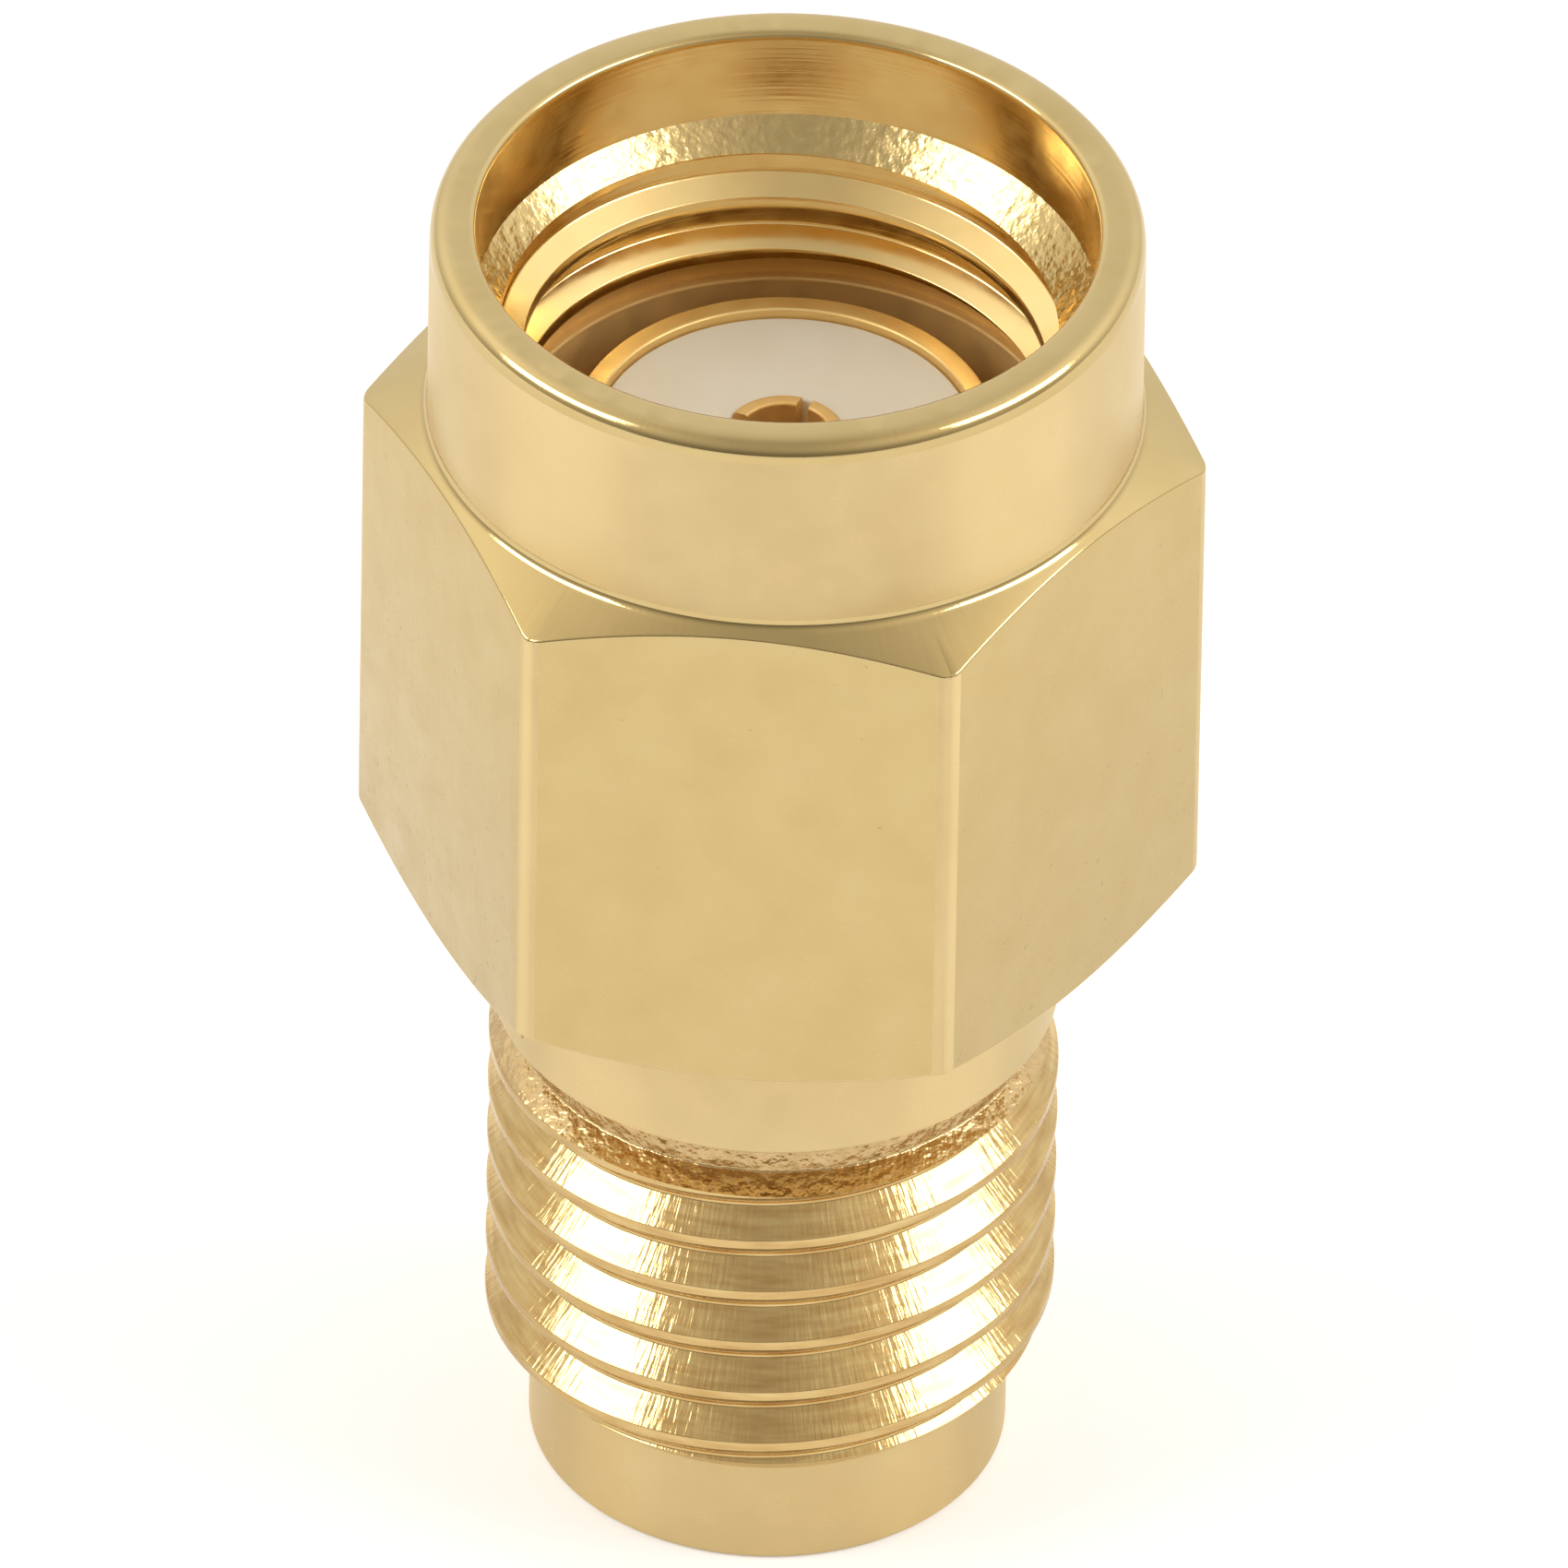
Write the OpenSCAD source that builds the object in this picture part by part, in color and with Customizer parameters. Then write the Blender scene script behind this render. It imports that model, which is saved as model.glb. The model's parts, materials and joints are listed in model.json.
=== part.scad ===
// Coax adapter: a threaded jack below, a free-turning plug nut above, on one axis.
// Units are millimetres. +Z runs from the jack end, at z = 0, to the plug end.

/* [Jack end] */

// outside diameter over the jack's thread crests
thread_d = 6.2; // [6.0:0.02:6.34]

// length of the full thread
thread_len = 3.68; // [3.2:0.02:4.2]

// length of the plain pilot in front of the thread
pilot_h = 1.28; // [0.9:0.02:1.6]

// wall of the pilot round the jack's socket
pilot_wall = 0.28; // [0.22:0.01:0.36]

// depth of the relief groove above the thread
relief_depth = 0.28; // [0.1:0.01:0.4]

// width of that groove, from the full thread to the shoulder
relief_len = 0.66; // [0.5:0.02:1.0]

// length of the smooth shoulder that the nut seats on
shoulder_len = 1.56; // [1.0:0.02:2.0]

// depth of the socket that takes a mating plug's sleeve
socket_depth = 1.9; // [1.6:0.05:2.2]

/* [Plug end] */

// length of the bare plug sleeve
sleeve_len = 2.34; // [2.0:0.02:2.6]

// wall of the plug sleeve round the insulator
sleeve_wall = 0.24; // [0.18:0.01:0.28]

// how far the neck stands out past the sleeve
neck_step = 0.32; // [0.28:0.01:0.4]

// length of the neck that the nut turns on
neck_len = 3.62; // [3.2:0.02:4.0]

/* [Inner line] */

// bore of the body round the insulator
line_bore_d = 4.1; // [3.9:0.02:4.2]

// how far the white insulator sits below the sleeve's face
insulator_recess = 0.1; // [0.02:0.02:0.3]

// diameter of the contact's socket holes
pin_hole_d = 0.95; // [0.86:0.01:1.0]

// depth of each socket hole
pin_hole_depth = 2.4; // [2.0:0.1:3.2]

// wall of the contact round its socket holes
contact_wall = 0.16; // [0.12:0.01:0.22]

// how far the contact sits inside the faces at both ends
contact_recess = 0.05; // [0.01:0.01:0.2]

// half angle of the point at the bottom of each socket hole, in degrees
drill_angle = 59; // [45:1:70]

// width of the slots between the contact's fingers
finger_slot = 0.14; // [0.1:0.01:0.16]

// length of those slots
finger_len = 1.7; // [1.2:0.1:1.9]

/* [Coupling nut] */

// width of the hexagon across its flats
nut_af = 8; // [7.9:0.02:8.2]

// diameter that the hexagon's corners are turned to
nut_corner_d = 9.16; // [8.9:0.02:9.3]

// diameter of the lower face inside the chamfer
nut_face_d = 7.6; // [7.2:0.05:7.8]

// slope of the chamfers at both ends of the hexagon, in degrees
chamfer_angle = 27; // [20:1:35]

// outside diameter of the round collar
collar_d = 7.72; // [7.5:0.02:7.8]

// height of the round collar
collar_h = 2.46; // [2.2:0.02:2.8]

// radius of the collar's outer front edge
rim_round = 0.12; // [0.05:0.01:0.16]

// how far the collar's rim stands past the plug sleeve's face
rim_lead = 2.76; // [2.6:0.02:3.0]

// diameter of the plain mouth
mouth_d = 6.72; // [6.4:0.02:6.9]

// depth of the plain mouth
mouth_depth = 1.1; // [0.8:0.02:1.2]

// how far the nut's inner thread reaches in past a mating thread's crests
nut_thread_depth = 0.27; // [0.24:0.01:0.28]

// height of the nut's thread above the plug sleeve's face, at its lower end
nut_thread_lift = 0.08; // [0.06:0.01:0.14]

// width of the groove under the nut's thread
nut_relief_h = 0.38; // [0.2:0.01:0.45]

// radial room between a mating thread's crests and that groove
nut_relief_clear = 0.02; // [0.01:0.01:0.1]

// radial room round a mating jack's pilot, under that groove
pilot_room = 0.39; // [0.3:0.01:0.45]

// how far the nut's narrow back bore stops short of the neck's end
back_step = 0.2; // [0.1:0.02:0.4]

/* [Retaining ring] */

// height of the ring
ring_h = 0.45; // [0.35:0.01:0.6]

// radial thickness of the ring
ring_w = 0.36; // [0.3:0.01:0.4]

// opening between the ring's ends
ring_gap = 1.2; // [0.6:0.1:2.0]

// height of the ring's centre above the nut's lower face
ring_lift = 1.9; // [1.4:0.05:2.4]

// how far the ring reaches into the nut's groove
ring_hold = 0.1; // [0.06:0.01:0.16]

/* [Fits and edges] */

// radial clearance of a plug sleeve in the jack's socket
socket_fit = 0.03; // [0.02:0.005:0.05]

// radial clearance between the turning nut and the body
turn_clear = 0.06; // [0.02:0.01:0.1]

// gap under the nut at rest
seat_gap = 0.02; // [0.01:0.01:0.06]

// axial end float of the nut
end_float = 0.2; // [0.1:0.01:0.3]

// clearance round the retaining ring in its grooves
ring_clear = 0.05; // [0.03:0.01:0.08]

// radial clearance of the insulator in its bore and round the contact
bush_clear = 0.01; // [0.005:0.005:0.03]

// bevel that breaks the turned edges
edge = 0.08; // [0.04:0.01:0.1]

// smaller bevel on thin walls
fine_edge = 0.04; // [0.02:0.01:0.05]

/* [Hidden] */

$fn = 96;

// how far a cutting shape runs past the face it cuts
over = 1;

hex_sides = 6;

// radii of the body, worked outwards from the insulator's bore
line_bore_r = line_bore_d / 2;
sleeve_r = line_bore_r + sleeve_wall;
socket_r = sleeve_r + socket_fit;
pilot_r = socket_r + pilot_wall;
neck_r = sleeve_r + neck_step;
thread_r = thread_d / 2;
relief_r = thread_r - relief_depth;

// heights of the body, stacked up from the jack's end face
// the thread starts with a 45 degree chamfer and ends with a steeper run-out
thread_start = pilot_h + thread_r - pilot_r;
thread_top = thread_start + thread_len;
run_out_top = thread_top + relief_depth / 2;
shoulder_z = thread_top + relief_len;
shoulder_top = shoulder_z + shoulder_len;
neck_top = shoulder_top + neck_len;
tip_z = neck_top + sleeve_len;

pin_hole_r = pin_hole_d / 2;
contact_r = pin_hole_r + contact_wall;
insulator_top = tip_z - insulator_recess;
contact_lo = socket_depth + contact_recess;
contact_hi = tip_z - contact_recess;
drill_point = pin_hole_r / tan(drill_angle);

// the nut takes its bores from the neck it turns on and from the jack it screws onto
back_bore_r = neck_r + turn_clear;
room_r = pilot_r + pilot_room;
nut_thread_r = thread_r - nut_thread_depth;
nut_relief_r = thread_r + nut_relief_clear;
mouth_r = mouth_d / 2;
collar_r = collar_d / 2;
corner_r = nut_corner_d / 2;
face_r = nut_face_d / 2;
hex_r = nut_af / 2 / cos(180 / hex_sides);

nut_z = shoulder_top + seat_gap;
nut_top = tip_z + rim_lead;
hex_top = nut_top - collar_h;
chamfer_rise = tan(chamfer_angle);
low_chamfer_end = nut_z + (corner_r - face_r) * chamfer_rise;
high_chamfer_z = hex_top - (corner_r - collar_r) * chamfer_rise;
back_bore_top = neck_top - back_step;
nut_thread_end = tip_z + nut_thread_lift;
nut_relief_end = nut_thread_end - nut_relief_h;
mouth_floor = nut_top - mouth_depth;
lead_in_end = mouth_floor - mouth_r + nut_thread_r;

// the ring stands in a groove of the nut and in a taller, deeper one of the body
ring_out_r = back_bore_r + ring_hold;
ring_in_r = ring_out_r - ring_w;
ring_z = nut_z + ring_lift;
groove_lo = ring_z - ring_h / 2 - ring_clear;
groove_hi = ring_z + ring_h / 2 + ring_clear;
nut_groove_r = ring_out_r + ring_clear;

// pressed in, the ring clears the nut's back bore by half the turning clearance
body_groove_r = back_bore_r - ring_w - turn_clear / 2;

// points of a quarter round about [r, z], from the outside to the top
function quarter(r, z, s, n = 5) =
    [for (i = [0 : n]) [r + s * cos(90 * i / n), z + s * sin(90 * i / n)]];

body_outline = [
    [socket_r + fine_edge, 0],
    [pilot_r - edge, 0],
    [pilot_r, edge],
    [pilot_r, pilot_h],
    [thread_r, thread_start],
    [thread_r, thread_top],
    [relief_r, run_out_top],
    [relief_r, shoulder_z - edge],
    [thread_r - edge, shoulder_z - edge],
    [thread_r, shoulder_z],
    [thread_r, shoulder_top - edge],
    [thread_r - edge, shoulder_top],
    [neck_r, shoulder_top],
    [neck_r, groove_lo],
    [body_groove_r, groove_lo],
    [body_groove_r, groove_hi + end_float],
    [neck_r, groove_hi + end_float],
    [neck_r, neck_top - edge],
    [neck_r - edge, neck_top],
    [sleeve_r, neck_top],
    [sleeve_r, tip_z - fine_edge],
    [sleeve_r - fine_edge, tip_z],
    [line_bore_r, tip_z],
    [line_bore_r, socket_depth],
    [socket_r, socket_depth],
    [socket_r, fine_edge]
];

contact_outline = [
    [pin_hole_r + fine_edge, contact_lo],
    [contact_r - fine_edge, contact_lo],
    [contact_r, contact_lo + fine_edge],
    [contact_r, contact_hi - fine_edge],
    [contact_r - fine_edge, contact_hi],
    [pin_hole_r + fine_edge, contact_hi],
    [pin_hole_r, contact_hi - fine_edge],
    [pin_hole_r, contact_hi - pin_hole_depth],
    [0, contact_hi - pin_hole_depth - drill_point],
    [0, contact_lo + pin_hole_depth + drill_point],
    [pin_hole_r, contact_lo + pin_hole_depth],
    [pin_hole_r, contact_lo + fine_edge]
];

nut_outline = concat(
    [
        [0, nut_z],
        [face_r, nut_z],
        [corner_r, low_chamfer_end],
        [corner_r, high_chamfer_z],
        [collar_r, hex_top]
    ],
    quarter(collar_r - rim_round, nut_top - rim_round, rim_round),
    [[0, nut_top]]
);

nut_hollow = [
    [0, nut_z - over],
    [back_bore_r + edge, nut_z - over],
    [back_bore_r + edge, nut_z],
    [back_bore_r, nut_z + edge],
    [back_bore_r, groove_lo],
    [nut_groove_r, groove_lo],
    [nut_groove_r, groove_hi],
    [back_bore_r, groove_hi],
    [back_bore_r, back_bore_top],
    [room_r, back_bore_top],
    [room_r, nut_relief_end],
    [nut_relief_r, nut_relief_end],
    [nut_relief_r, nut_thread_end],
    [nut_thread_r, nut_thread_end],
    [nut_thread_r, lead_in_end],
    [mouth_r, mouth_floor],
    [mouth_r, nut_top - edge],
    [mouth_r + edge, nut_top],
    [mouth_r + edge, nut_top + over],
    [0, nut_top + over]
];

// one turned piece: jack thread, shoulder, neck and plug sleeve round one bore
module body() {
    color("#d9bf7c")
        rotate_extrude()
            polygon(body_outline);
}

// white bush that holds the contact on the axis
module insulator() {
    color("#efeae4")
        translate([0, 0, socket_depth])
            difference() {
                cylinder(h = insulator_top - socket_depth, r = line_bore_r - bush_clear);
                translate([0, 0, -over])
                    cylinder(h = insulator_top - socket_depth + 2 * over, r = contact_r + bush_clear);
            }
}

// crossed slots that run up from below z = 0
module finger_slots() {
    for (turn = [0, 90])
        rotate([0, 0, turn])
            translate([-2 * contact_r, -finger_slot / 2, -over])
                cube([4 * contact_r, finger_slot, finger_len + over]);
}

// rod with a slotted socket in each end
module centre_contact() {
    color("#cfa95a")
        difference() {
            rotate_extrude()
                polygon(contact_outline);
            translate([0, 0, contact_lo])
                finger_slots();
            translate([0, 0, contact_hi])
                mirror([0, 0, 1])
                    finger_slots();
        }
}

// open ring that holds the nut on the neck
module retaining_ring() {
    color("#b9a36a")
        translate([0, 0, ring_z - ring_h / 2])
            difference() {
                cylinder(h = ring_h, r = ring_out_r);
                translate([0, 0, -over])
                    cylinder(h = ring_h + 2 * over, r = ring_in_r);
                translate([-ring_gap / 2, 0, -over])
                    cube([ring_gap, ring_out_r + over, ring_h + 2 * over]);
            }
}

// hexagon with turned ends, a round collar and a stepped bore
module coupling_nut() {
    color("#dcc283")
        difference() {
            intersection() {
                union() {
                    translate([0, 0, nut_z])
                        cylinder(h = hex_top - nut_z, r = hex_r, $fn = hex_sides);
                    translate([0, 0, high_chamfer_z])
                        cylinder(h = nut_top - high_chamfer_z, r = collar_r);
                }
                rotate_extrude()
                    polygon(nut_outline);
            }
            rotate_extrude()
                polygon(nut_hollow);
        }
}

body();
insulator();
centre_contact();
retaining_ring();
coupling_nut();
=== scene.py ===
"""Looks of a small coax adapter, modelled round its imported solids.

A gold-plated brass body with a threaded jack end stands upright. A free-turning hexagon nut sits on
its plug end, with a white insulator and a slotted gold contact inside the nut's mouth.
"""

import json
import math

import bmesh
import bpy
from bpy.props import FloatProperty, FloatVectorProperty, PointerProperty
from mathutils import Matrix, Quaternion, Vector


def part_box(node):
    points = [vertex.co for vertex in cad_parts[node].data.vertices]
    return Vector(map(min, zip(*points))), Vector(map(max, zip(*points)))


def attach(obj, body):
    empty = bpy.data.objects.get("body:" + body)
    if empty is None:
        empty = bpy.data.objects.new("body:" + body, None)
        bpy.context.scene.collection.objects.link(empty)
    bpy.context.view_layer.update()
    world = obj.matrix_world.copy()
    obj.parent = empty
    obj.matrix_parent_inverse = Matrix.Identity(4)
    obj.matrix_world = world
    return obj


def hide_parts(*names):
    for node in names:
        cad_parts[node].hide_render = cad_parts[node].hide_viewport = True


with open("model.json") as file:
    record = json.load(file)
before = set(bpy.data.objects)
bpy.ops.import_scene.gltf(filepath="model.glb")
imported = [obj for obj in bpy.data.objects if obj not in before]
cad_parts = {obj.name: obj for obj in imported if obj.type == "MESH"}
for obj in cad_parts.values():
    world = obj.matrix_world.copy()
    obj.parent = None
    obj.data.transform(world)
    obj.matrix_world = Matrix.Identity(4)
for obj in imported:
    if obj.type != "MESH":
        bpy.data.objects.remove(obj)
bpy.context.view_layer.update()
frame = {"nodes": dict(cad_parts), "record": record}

bl_info = {
    "name": "Coax adapter",
    "version": (1, 0, 0),
    "blender": (4, 5, 0),
    "location": "View3D > Sidebar > Adapter",
    "description": "Models the adapter's turned and milled pieces round its solids",
    "category": "Object",
}

MM = 0.001
FULL_TURN = 2 * math.pi
HEX_SIDES = 6
# faces round every turned surface
TURN_STEPS = 192
# straight pieces in each rounded edge of an outline
ROUND_STEPS = 6
# straight pieces across the softened edges of the nut's chamfers
SOFT_STEPS = 3
# points nearer than this are one point
WELD = 0.0002 * MM
# how far a cutting shape runs past what it cuts
OVER = 1.0 * MM
# a hair's breadth that keeps a cutting shape off a face it must not touch
HAIR = 0.01 * MM
# how near a face has to lie to a flat of the hexagon to belong to it
FLAT_REACH = 0.002 * MM
# keeps the floor off the end face that stands on it
FLOOR_DROP = 0.001 * MM
# edges that turn by less than this are shaded smooth
SMOOTH_ANGLE = math.radians(32)
# edges of the nut's outside that turn by more than this are softened
SHARP_ANGLE = math.radians(25)
# slope at which a thread's cutter opens past the crests, which rounds them off
CREST_SLOPE = math.tan(math.radians(12))
# a face is upright where its normal rises by less than the first, and looks up from the second on
UPRIGHT = 0.001
LOOKS_UP = 0.05
# the Mix node's colour sockets share their names with other kinds, so they are given by number
MIX_A = 6
MIX_B = 7
MIX_RESULT = 2

# low and high corner of each solid
BOX = {name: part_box(name) for name in frame["nodes"]}
MOUNT = {mount["name"]: mount for mount in frame["record"]["mounts"]}


def mount_radius(name):
    """Radius of a stated pin or bore, in metres."""
    return MOUNT[name]["dims"]["r_mm"] * MM


def mount_ends(name):
    """Lower and upper end of a stated pin or bore whose point is at its middle."""
    half = MOUNT[name]["dims"]["length_mm"] * MM / 2
    middle = MOUNT[name]["pos_m"][2]
    return middle - half, middle + half


def linear(code):
    """Linear RGB of an sRGB hex colour."""
    parts = [int(code[i:i + 2], 16) / 255 for i in (1, 3, 5)]
    return [p / 12.92 if p <= 0.04045 else ((p + 0.055) / 1.055) ** 2.4 for p in parts]


def length(name, description, millimetres):
    """A size, written here in millimetres."""
    return FloatProperty(
        name=name, description=description, default=millimetres * MM, unit="LENGTH", precision=5
    )


def angle(name, description, degrees):
    """An angle, written here in degrees."""
    return FloatProperty(
        name=name, description=description, default=math.radians(degrees), subtype="ANGLE"
    )


def colour(name, description, code):
    """A colour, written here as an sRGB hex value."""
    return FloatVectorProperty(
        name=name, description=description, default=linear(code), subtype="COLOR", min=0, max=1
    )


def amount(name, description, value):
    """A plain amount of light or shade."""
    return FloatProperty(name=name, description=description, default=value, min=0)


def direction(name, description, vector):
    """A direction in the view's own axes: right, away from the camera and up."""
    return FloatVectorProperty(name=name, description=description, default=vector, subtype="DIRECTION")


class ThreadSizes(bpy.types.PropertyGroup):
    """The screw thread, of one pitch on the jack and in the nut."""

    pitch: length("Pitch", "Distance between neighbouring crests", 0.7056)
    jack_flank: angle("Jack flank", "Slope of the jack's flanks from square to the axis", 45)
    jack_crest: length("Jack crest", "Flat on top of the jack's crests", 0.11)
    jack_root: length("Jack root", "Flat at the bottom of the jack's grooves", 0.04)
    jack_round: length("Jack round", "Radius that softens the jack's crests and roots", 0.04)
    jack_phase: length("Jack phase", "Height of one of the jack's crests on the +X side", 2.135)
    nut_flank: angle("Nut flank", "Slope of the nut's flanks from square to the axis", 30)
    nut_depth: length("Nut depth", "Depth of the nut's grooves", 0.26)
    nut_root: length("Nut root", "Flat at the bottom of the nut's grooves", 0.25)
    nut_round: length("Nut round", "Radius that softens the nut's crests and roots", 0.05)
    nut_phase: length("Nut phase", "Height of one of the nut's crests on the +X side", 14.303)


class BodySizes(bpy.types.PropertyGroup):
    """The turned body, from the jack end up to the plug sleeve."""

    pilot_length: length("Pilot length", "Plain pilot in front of the thread", 1.28)
    pilot_wall: length("Pilot wall", "Wall of the pilot round the jack's socket", 0.28)
    relief_depth: length("Relief depth", "Depth of the groove above the thread", 0.28)
    relief_width: length("Relief width", "From the full thread to the shoulder", 0.66)
    seat_gap: length("Seat gap", "Gap between the shoulder and the nut", 0.02)
    neck_step: length("Neck step", "How far the neck stands out past the sleeve", 0.32)
    groove_depth: length("Groove depth", "Depth of the retaining ring's groove in the neck", 0.33)
    ring_room: length("Ring room", "Room under and over the retaining ring", 0.05)
    end_float: length("End float", "Travel of the nut along the neck", 0.2)
    bush_gap: length("Bush gap", "Gap round the insulator and the contact", 0.01)
    edge: length("Edge round", "Radius of the turned edges", 0.08)
    fine_edge: length("Fine edge round", "Radius of the edges of thin walls", 0.04)


class NutSizes(bpy.types.PropertyGroup):
    """The coupling nut: hexagon, collar and stepped bore."""

    corner_round: length("Corner round", "Radius of the hexagon's upright corners", 0.255)
    face_radius: length("Face radius", "Radius of the lower face inside the chamfer", 3.8)
    chamfer: angle("Chamfer", "Slope of the chamfers at both ends of the hexagon", 27)
    chamfer_edge: length("Chamfer edge", "Width of the softened edges of the chamfers", 0.11)
    collar_radius: length("Collar radius", "Outside of the round collar", 3.86)
    collar_height: length("Collar height", "Height of the round collar", 2.46)
    collar_fillet: length("Collar fillet", "Radius between the collar and the chamfer", 0.16)
    rim_round: length("Rim round", "Radius of the collar's outer front edge", 0.24)
    mouth_radius: length("Mouth radius", "Radius of the plain mouth", 3.36)
    mouth_depth: length("Mouth depth", "Depth of the plain mouth", 1.1)
    mouth_round: length("Mouth round", "Radius of the mouth's edge", 0.1)
    groove_radius: length("Groove radius", "Radius of the groove under the thread", 3.12)
    groove_height: length("Groove height", "Height of the groove under the thread", 0.38)
    room_radius: length("Room radius", "Bore between that groove and the back bore", 2.99)
    back_step: length("Back step", "How far the back bore stops short of the neck's end", 0.2)
    turn_gap: length("Turning gap", "Radial gap between the nut and the neck", 0.06)
    ring_gap: length("Ring gap", "Radial gap outside the retaining ring", 0.05)


class ContactSizes(bpy.types.PropertyGroup):
    """The centre contact: a rod with a slotted socket in each end."""

    drill_angle: angle("Drill angle", "Half angle of the point at the bottom of the holes", 59)
    slot_width: length("Slot width", "Width of the slots between the fingers", 0.14)
    slot_length: length("Slot length", "Length of the slots between the fingers", 1.7)
    slot_turn: angle("Slot turn", "Turn of the slots round the axis", -17)
    hole_depth: length("Hole depth", "Depth of the straight part of each hole", 2.4)


class Finishes(bpy.types.PropertyGroup):
    """Colours of the plated, turned and sprung pieces, and of the paper under them. The bore, contact and
    insulator tones also carry painted light.
    """

    gold_light: colour("Gold, light", "Pale tone of the gold plate", "#D7C18C")
    gold_deep: colour("Gold, deep", "Deep tone of the gold plate", "#CDB379")
    turned_light: colour("Turned gold, light", "Pale tone of the turned outside", "#E8D29D")
    turned_deep: colour("Turned gold, deep", "Deep tone of the turned outside", "#DFC48D")
    # the bore tones are painted paler than the outside gold: painted bounce light for the shaded mouth,
    # bores and neck
    bore_painted_pale: colour("Bore gold, light", "Pale tone inside the bores, where it isn't rubbed", "#F7DEA2")
    bore_painted_deep: colour("Bore gold, deep", "Deep tone inside the bores", "#EECD8B")
    thread_light: colour("Thread gold, light", "Pale tone of the streaks along the thread", "#F0D99C")
    thread_deep: colour("Thread gold, deep", "Brown tone of the streaks along the thread", "#BA8D52")
    torn_light: colour("Torn gold, light", "Pale tone of torn cuts, where light is caught twice", "#DDC392")
    torn_deep: colour("Torn gold, deep", "Deep tone of torn cuts", "#BF9E6C")
    # the contact's tones are painted paler than the other gold: painted light for its shaded place deep in
    # the mouth
    contact_painted_pale: colour("Contact gold, light", "Pale tone of the contact's plate", "#FBDFA2")
    contact_painted_deep: colour("Contact gold, deep", "Deep tone of the contact's plate", "#EEC985")
    # both insulator tones are painted warm: painted reflected light from the gold nut round a white
    # insulator
    insulator_white: colour("Insulator white", "Pale tone of the insulator", "#EEEAE0")
    insulator_painted_warm: colour("Insulator shade", "Dull tone of the insulator", "#E7E0CF")
    bronze_light: colour("Bronze, light", "Pale tone of the spring bronze", "#C9A36A")
    bronze_deep: colour("Bronze, deep", "Deep tone of the spring bronze", "#B58C55")
    floor: colour("Floor", "Paper that the adapter stands on", "#E9E9EA")


class StageSizes(bpy.types.PropertyGroup):
    """Camera, lamps, floor and room."""

    camera_distance: length("Camera distance", "From the lens to the point it looks at", 700)
    camera_height: angle("Camera height", "Angle of the view above the horizon", 38.6)
    camera_side: angle("Camera side", "Turn of the view round the axis", 6.3)
    camera_roll: angle("Camera roll", "Lean of the picture", 1.03)
    frame_width: length("Frame width", "Width of the picture at the adapter", 16.99)
    aim_height: length("Aim height", "Height on the axis that the view is hung on", 8)
    aim_right: length("Aim right", "Middle of the picture, right of that point", 0.073)
    aim_up: length("Aim up", "Middle of the picture, above that point", 0.558)
    left_lamp: direction("Left lamp", "Where the left lamp hangs", (-0.775, -0.175, 0.605))
    right_lamp: direction("Right lamp", "Where the right lamp hangs", (0.79, -0.15, 0.60))
    lamp_distance: length("Lamp distance", "From the adapter to each soft lamp", 300)
    lamp_width: length("Lamp width", "Width of each soft lamp", 190)
    lamp_height: length("Lamp height", "Height of each soft lamp", 115)
    lamp_lean: angle("Lamp lean", "How far each lamp's front end is raised", 20)
    lamp_white: amount("Lamp brightness", "Brightness of the lamps' faces", 4.5)
    floor_width: length("Floor width", "Size of the floor", 1600)
    floor_lift: amount("Floor lift", "White added where the floor is seen", 0.3)
    floor_gleam: amount("Floor gleam", "White added where metal shows the floor", 0.14)
    room_front: colour("Room, front", "Warm shade of the room on the camera's side", "#BFB9AE")
    room_back: colour("Room, back", "Pale tone of the room behind the adapter", "#F7F6F5")
    room_dim: amount("Room dimming", "How much darker the room is low down in front", 0.7)
    wall_glow: amount("Wall glow", "Light of the pale walls high up on both sides", 4.5)


class AdapterSettings(bpy.types.PropertyGroup):
    """Everything that a user would change."""

    thread: PointerProperty(type=ThreadSizes)
    body: PointerProperty(type=BodySizes)
    nut: PointerProperty(type=NutSizes)
    contact: PointerProperty(type=ContactSizes)
    finish: PointerProperty(type=Finishes)
    stage: PointerProperty(type=StageSizes)


# Modelling steps


def only(piece):
    """Select one object alone and make it the active one."""
    bpy.ops.object.select_all(action="DESELECT")
    piece.select_set(True)
    bpy.context.view_layer.objects.active = piece


def rounded(corners, closed=True):
    """Points of an outline given as (radius, height, round) corners."""
    points = []
    last = len(corners) - 1
    for i, (radius, height, size) in enumerate(corners):
        corner = Vector((radius, height))
        if size == 0 or (not closed and i in (0, last)):
            points.append(corner)
            continue
        back = Vector(corners[i - 1][:2]) - corner
        ahead = Vector(corners[(i + 1) % len(corners)][:2]) - corner
        reach = size * math.tan((math.pi - back.angle(ahead)) / 2)
        start = corner + back.normalized() * reach
        end = corner + ahead.normalized() * reach
        for k in range(ROUND_STEPS + 1):
            t = k / ROUND_STEPS
            points.append(start * (1 - t) ** 2 + corner * 2 * t * (1 - t) + end * t**2)
    return points


def draw_outline(name, points, closed=True):
    """Draw an outline in the XZ plane, by extruding one corner from point to point."""
    bpy.ops.object.select_all(action="DESELECT")
    bpy.ops.mesh.primitive_plane_add(size=MM)
    piece = bpy.context.object
    piece.name = name
    piece.data.name = name
    bpy.ops.object.mode_set(mode="EDIT")
    bpy.ops.mesh.select_mode(type="VERT")
    bpy.ops.mesh.select_all(action="SELECT")
    bpy.ops.mesh.merge(type="CENTER")
    bpy.ops.transform.translate(value=(points[0].x, 0, points[0].y))
    ends = points[1:] + points[:1] if closed else points[1:]
    for start, end in zip(points, ends):
        step = (end.x - start.x, 0, end.y - start.y)
        bpy.ops.mesh.extrude_vertices_move(TRANSFORM_OT_translate={"value": step})
    bpy.ops.mesh.select_all(action="SELECT")
    bpy.ops.mesh.remove_doubles(threshold=WELD)
    return piece


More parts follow.
